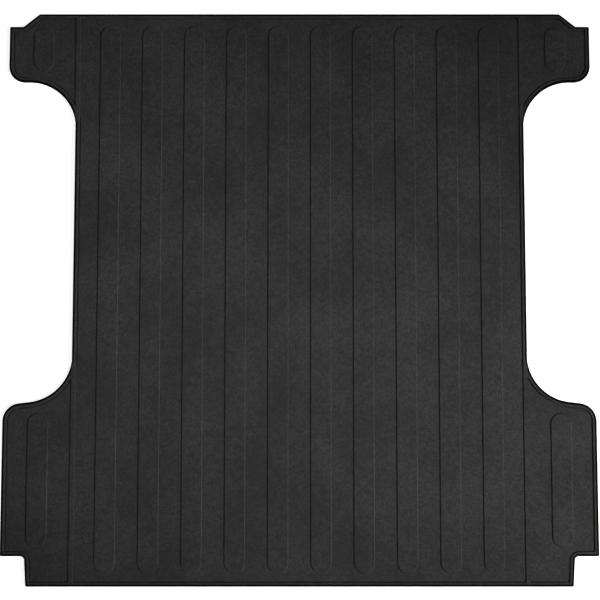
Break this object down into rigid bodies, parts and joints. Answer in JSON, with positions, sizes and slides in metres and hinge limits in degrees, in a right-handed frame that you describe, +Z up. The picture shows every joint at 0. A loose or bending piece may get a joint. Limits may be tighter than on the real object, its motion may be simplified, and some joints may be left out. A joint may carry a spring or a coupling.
{
  "type": "truck bed mat",
  "caption": "Flat moulded rubber liner for a pickup bed floor, with raised lengthwise ribs, an edge rim, wheel well cut-outs and flexible corner wings.",
  "frame": {"origin": "middle of the underside, at the tips of the nibs that stand on the bed floor", "axes": "+X to the right of the bed seen from above with the cab ahead, +Y towards the cab, +Z up out of the cargo side"},
  "size_m": [1.66, 1.618, 0.0095],
  "materials": {
    "mat_rubber": "matt charcoal rubber with a fine pebbled grain"
  },
  "bodies": {
    "panel": {"centre_panel": "mat_rubber"},
    "front_left": {"front_left_wing": "mat_rubber"},
    "front_right": {"front_right_wing": "mat_rubber"},
    "rear_left": {"rear_left_wing": "mat_rubber"},
    "rear_right": {"rear_right_wing": "mat_rubber"}
  },
  "joints": [
    {"name": "front_left_flex", "type": "hinge", "parent": "panel", "child": "front_left", "pos_m": [-0.6385, 0.652, 0.0095], "axis": [0, 1, 0], "range_deg": [0, 90], "stiffness_Nm_per_rad": 0.25},
    {"name": "front_right_flex", "type": "hinge", "parent": "panel", "child": "front_right", "pos_m": [0.6385, 0.652, 0.0095], "axis": [0, -1, 0], "range_deg": [0, 90], "stiffness_Nm_per_rad": 0.25},
    {"name": "rear_left_flex", "type": "hinge", "parent": "panel", "child": "rear_left", "pos_m": [-0.6385, -0.5, 0.0095], "axis": [0, 1, 0], "range_deg": [0, 90], "stiffness_Nm_per_rad": 0.45},
    {"name": "rear_right_flex", "type": "hinge", "parent": "panel", "child": "rear_right", "pos_m": [0.6385, -0.5, 0.0095], "axis": [0, -1, 0], "range_deg": [0, 90], "stiffness_Nm_per_rad": 0.45}
  ]
}
